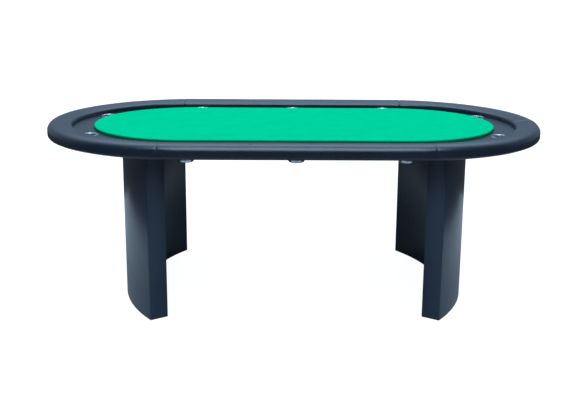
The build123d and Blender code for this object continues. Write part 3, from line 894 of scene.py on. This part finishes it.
def make_floor():
    """A white floor and backdrop that only the camera sees."""
    material, _, shader = glowing_floor("studio_white", 0.16, 0.17, (1, 1, 1))
    shader.inputs["Emission Strength"].default_value = WHITE_GLOW
    bpy.ops.mesh.primitive_plane_add(size=FLOOR_SIZE, location=(0, 0, 0))
    floor = bpy.context.object
    floor.name = "studio_floor"
    bpy.ops.mesh.primitive_cylinder_add(
        vertices=96,
        radius=BACKDROP_RADIUS,
        depth=BACKDROP_HEIGHT,
        end_fill_type="NOTHING",
    )
    backdrop = bpy.context.object
    backdrop.name = "studio_backdrop"
    for white in (floor, backdrop):
        white.data.materials.append(material)
        white.visible_diffuse = False
        white.visible_glossy = False
        white.visible_shadow = False


def make_reflector():
    """The floor that the gloss reflects, just under the white one and dark in the table's shade."""
    colour, strength = REFLECTOR_GLOW
    material, tree, shader = glowing_floor("studio_reflector", 0.16, 0.18, colour)
    from_shade = tree.nodes.new("ShaderNodeVectorMath")
    from_shade.operation = "LENGTH"
    stretch = [size / reach for size, reach in zip(REFLECTOR, SHADE)]
    back = (REFLECTOR_Y - SHADE_Y) / SHADE[1]
    tree.links.new(place(tree, (*stretch, 1), (0, back, 0)), from_shade.inputs[0])
    lit = smooth_step(tree, from_shade.outputs["Value"], SHADE_FULL, 1.0)
    tree.links.new(combine(tree, "MULTIPLY", lit, strength), shader.inputs["Emission Strength"])
    bpy.ops.mesh.primitive_plane_add(size=1, location=(0, REFLECTOR_Y, -0.0005))
    reflector = bpy.context.object
    reflector.name = "studio_reflector"
    reflector.scale = (*REFLECTOR, 1)
    reflector.data.materials.append(material)
    reflector.visible_camera = False


def glow(tree, share, colour, strength):
    """A part of the world's light: its colour wherever the share is 1."""
    background = tree.nodes.new("ShaderNodeBackground")
    background.inputs["Color"].default_value = (*colour, 1)
    tree.links.new(combine(tree, "MULTIPLY", share, strength), background.inputs["Strength"])
    return background.outputs["Background"]


def spot(tree, direction, at, rim):
    """1 in a round patch of the world over the table, fading to 0 at its rim."""
    nearness = tree.nodes.new("ShaderNodeVectorMath")
    nearness.operation = "DOT_PRODUCT"
    tilt = math.radians(at)
    nearness.inputs[1].default_value = (0, math.cos(tilt), math.sin(tilt))
    tree.links.new(direction, nearness.inputs[0])
    start, full = [math.cos(math.radians(angle)) for angle in rim]
    return smooth_step(tree, nearness.outputs["Value"], start, full)


def add_light(tree, first, second):
    """Two parts of the world's light together."""
    node = tree.nodes.new("ShaderNodeAddShader")
    tree.links.new(first, node.inputs[0])
    tree.links.new(second, node.inputs[1])
    return node.outputs["Shader"]


def make_lights():
    """A softbox over the front, a wide glow over the table, and a pale wall and ceiling behind."""
    world = bpy.data.worlds.new("studio")
    bpy.context.scene.world = world
    world.use_nodes = True
    tree = world.node_tree
    ambient = tree.nodes["Background"]
    colour, strength = AMBIENT
    ambient.inputs["Color"].default_value = (*colour, 1)
    ambient.inputs["Strength"].default_value = strength
    direction = tree.nodes.new("ShaderNodeTexCoord").outputs["Generated"]
    axes = axes_of(tree, direction)
    above_floor = smooth_step(tree, axes["Z"], -0.15, -0.06)
    overhead = smooth_step(tree, axes["Z"], 0.25, 1.0)
    backward = smooth_step(tree, axes["Y"], -0.3, 0.4)
    parts = (
        glow(tree, spot(tree, direction, SOFTBOX_AT, SOFTBOX_RIM), *SOFTBOX),
        glow(tree, combine(tree, "MULTIPLY", above_floor, backward), *BACK_WALL),
        glow(tree, combine(tree, "MULTIPLY", overhead, backward), *CEILING),
        glow(tree, spot(tree, direction, STRIP_AT, STRIP_RIM), *STRIP),
    )
    light = ambient.outputs["Background"]
    for part in parts:
        light = add_light(tree, light, part)
    tree.links.new(light, tree.nodes["World Output"].inputs["Surface"])


def make_camera():
    """The photograph's viewpoint: a long lens from the front, a little above the table."""
    place_at = Vector((-0.0860, -4.2583, 1.4664))
    yaw, pitch, roll = 0.0185, 0.2576, 0.0078  # in radians, with the pitch downward
    ahead = Vector(
        (
            math.sin(yaw) * math.cos(pitch),
            math.cos(yaw) * math.cos(pitch),
            -math.sin(pitch),
        )
    )
    level = Vector((math.cos(yaw), -math.sin(yaw), 0))
    above = level.cross(ahead)
    across = math.cos(roll) * level + math.sin(roll) * above
    upward = -math.sin(roll) * level + math.cos(roll) * above
    data = bpy.data.cameras.new("camera")
    data.sensor_width = 36
    data.lens = 60.4233
    data.clip_end = 400
    camera = bpy.data.objects.new("camera", data)
    bpy.context.scene.collection.objects.link(camera)
    turn = Matrix((across, upward, -ahead)).transposed()
    camera.matrix_world = Matrix.Translation(place_at) @ turn.to_4x4()
    bpy.context.scene.camera = camera


make_floor()
make_reflector()
make_lights()
make_camera()
bpy.context.scene.view_settings.view_transform = "Standard"
